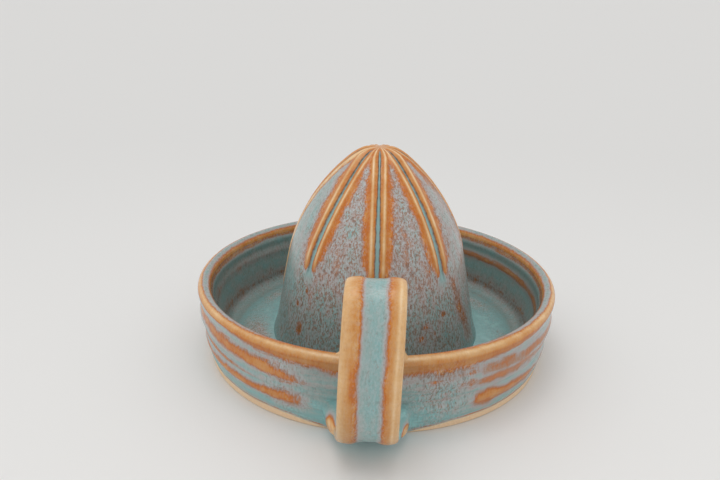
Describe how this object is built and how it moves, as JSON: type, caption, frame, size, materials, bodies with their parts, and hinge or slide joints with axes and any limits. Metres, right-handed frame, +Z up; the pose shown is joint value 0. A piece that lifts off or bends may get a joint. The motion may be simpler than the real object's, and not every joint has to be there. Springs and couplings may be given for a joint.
{
  "type": "citrus juicer",
  "caption": "Shallow round juicing dish with a fluted domed reamer rising from its middle, a looped strap handle on one side and a small pouring lip on the other.",
  "frame": {"origin": "on the table under the centre of the dish, in the plane of its round foot", "axes": "+Z up along the axis of the dish and the reamer, -Y towards the handle, +Y towards the pouring lip, +X to the right when seen from the handle"},
  "size_m": [0.15, 0.1837, 0.0882],
  "materials": {
    "dish_glaze": "satin-gloss breaking glaze, blue-green where thick and tan on the rim and rings, over buff stoneware that is bare at the foot",
    "cone_glaze": "satin-gloss breaking glaze, mottled lilac grey between the flutes and tan along their edges",
    "handle_glaze": "satin-gloss breaking glaze, tan on the rounded rails and blue-green in the channel between them"
  },
  "bodies": {
    "root": {"dish": "dish_glaze", "reamer_cone": "cone_glaze", "handle": "handle_glaze", "handle_foot_pad": "handle_glaze"}
  },
  "joints": []
}
